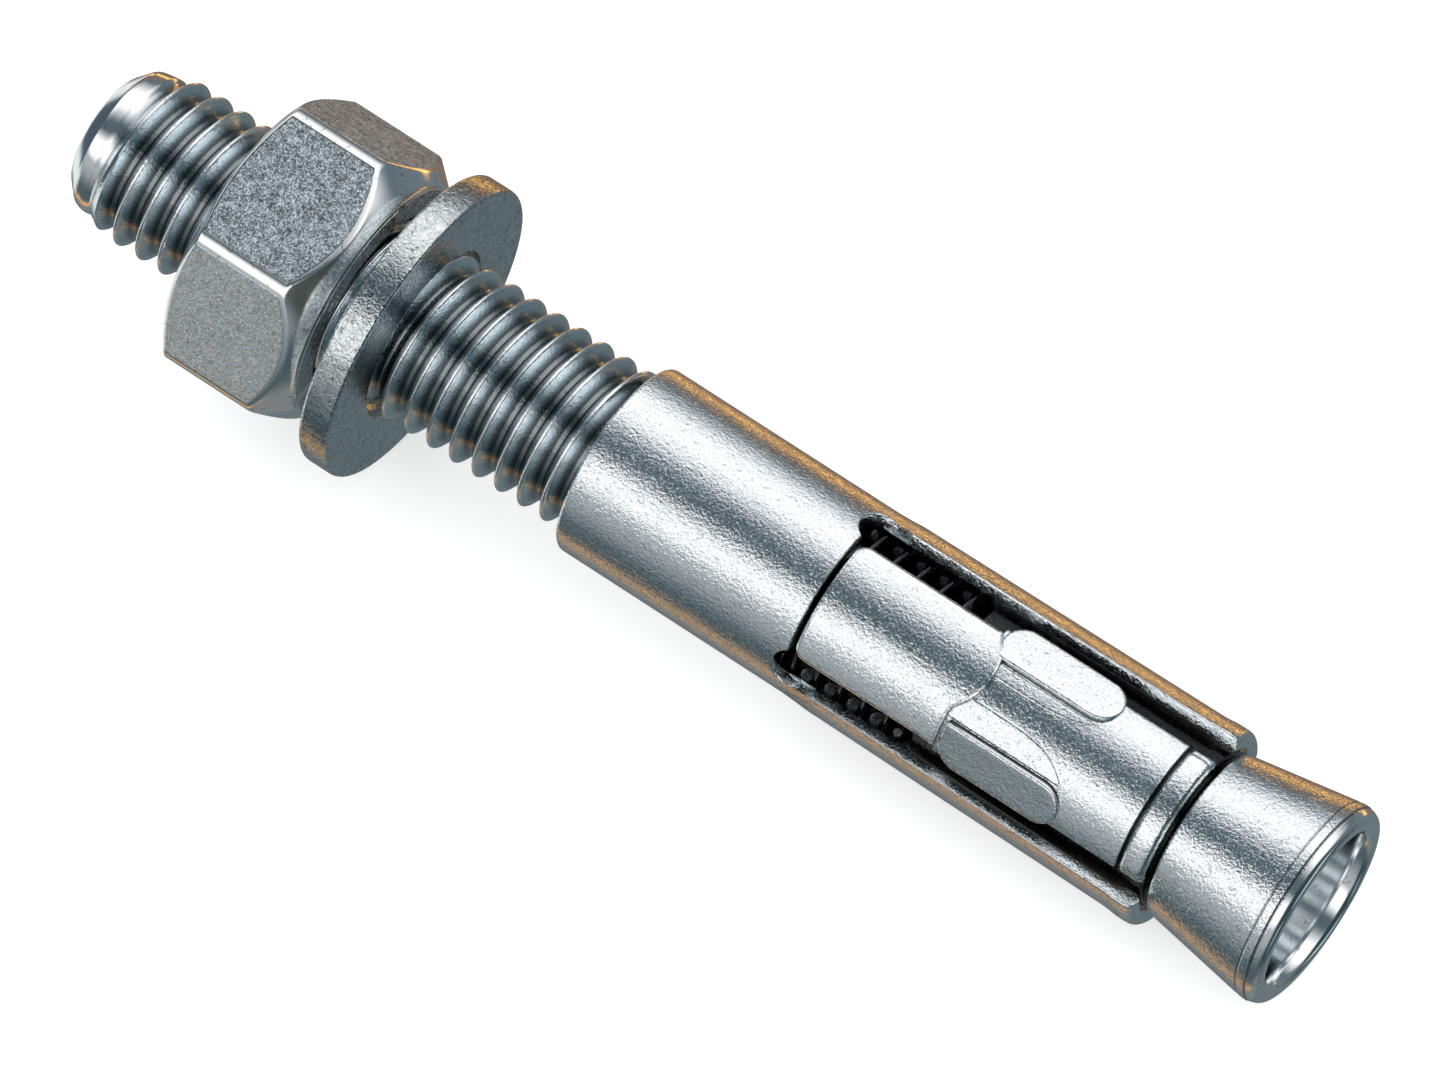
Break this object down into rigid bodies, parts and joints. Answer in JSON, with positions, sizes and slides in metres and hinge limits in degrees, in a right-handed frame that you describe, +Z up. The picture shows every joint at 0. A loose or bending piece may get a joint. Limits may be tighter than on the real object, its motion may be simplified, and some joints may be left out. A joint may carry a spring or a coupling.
{
  "type": "sleeve anchor",
  "caption": "Expansion sleeve anchor with threaded stud, hex nut, flat washer, slotted sleeve, formed clip and expander cone.",
  "frame": {"origin": "centre of the footprint of the anchor as it lies, on the surface it lies on", "axes": "+X along the anchor towards the expander cone, level, with the anchor's own axis dipping about 3 degrees towards the cone; +Z up; +Y across"},
  "size_m": [0.0804, 0.018, 0.0181],
  "materials": {
    "plated_thread": "bright zinc plated, rolled thread",
    "plated_nut": "zinc plated, finely speckled satin",
    "plated_washer": "zinc plated, satin",
    "plated_sleeve": "zinc plated, mottled satin",
    "plated_clip": "zinc plated, mottled satin",
    "plated_cone": "zinc plated, mottled satin"
  },
  "bodies": {
    "anchor_bolt": {"stud": "plated_thread", "expander_cone": "plated_cone", "expansion_clip": "plated_clip"},
    "washer": {"flat_washer": "plated_washer"},
    "nut": {"hex_nut": "plated_nut"},
    "sleeve": {"sleeve": "plated_sleeve"}
  },
  "joints": [
    {"name": "washer_slide", "type": "slide", "parent": "anchor_bolt", "child": "washer", "axis": [0.9987, 0, -0.0508], "range_m": [-0.0065, 0.0065]},
    {"name": "nut_spin", "type": "hinge", "parent": "washer", "child": "nut", "pos_m": [-0.02627, 0, 0.00941], "axis": [0.9987, 0, -0.0508], "range_deg": [-1562, 1562]},
    {"name": "sleeve_slide", "type": "slide", "parent": "anchor_bolt", "child": "sleeve", "axis": [-0.9987, 0, 0.0508], "range_m": [0, 0.006]}
  ],
  "couplings": [
    {"joint": "nut_spin", "follows": "washer_slide", "rad_per_m": 4188.8}
  ]
}
